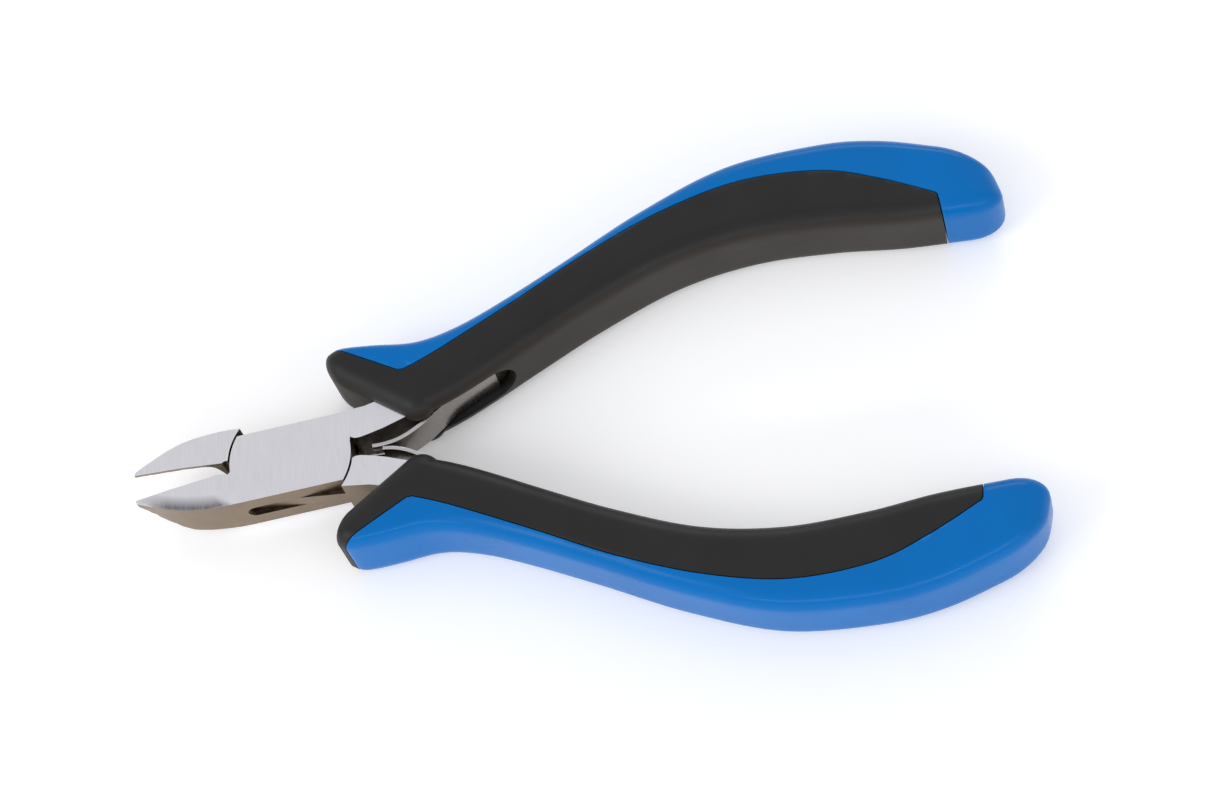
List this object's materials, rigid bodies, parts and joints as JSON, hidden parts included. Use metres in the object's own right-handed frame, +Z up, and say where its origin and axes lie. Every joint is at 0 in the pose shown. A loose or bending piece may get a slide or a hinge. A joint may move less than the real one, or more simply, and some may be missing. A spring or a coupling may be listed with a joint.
{
  "type": "diagonal cutting pliers",
  "caption": "Small diagonal cutting pliers with a slotted joint, leaf springs that hold the jaws open and soft-inlaid two-colour grips.",
  "frame": {"origin": "centre of the bounding box's bottom face, on the plane the tool lies on", "axes": "+X from the jaw tips to the handle ends, +Y towards the upper handle, +Z up out of the tool's front face, along the pivot"},
  "size_m": [0.1159, 0.0644, 0.0108],
  "materials": {
    "ground_steel": "ground and brushed",
    "spring_steel": "bright rolled",
    "rivet_steel": "ground flush",
    "blue_shell": "satin moulded",
    "black_inlay": "fine matt grain"
  },
  "bodies": {
    "slotted_side": {"slotted_half": "ground_steel", "pivot_rivet": "rivet_steel", "upper_leaf_spring": "spring_steel", "upper_spring_rivet": "rivet_steel", "upper_grip_shell": "blue_shell", "upper_grip_inlay": "black_inlay"},
    "inner_side": {"inner_half": "ground_steel", "lower_leaf_spring": "spring_steel", "lower_spring_rivet": "rivet_steel", "lower_grip_shell": "blue_shell", "lower_grip_inlay": "black_inlay"}
  },
  "joints": [
    {"name": "pivot", "type": "hinge", "parent": "slotted_side", "child": "inner_side", "pos_m": [-0.03678, 0, 0.0054], "axis": [0, 0, 1], "range_deg": [0, 9.55], "stiffness_Nm_per_rad": 1, "springref_deg": -8.59, "deforming": ["upper_leaf_spring", "lower_leaf_spring"]}
  ]
}
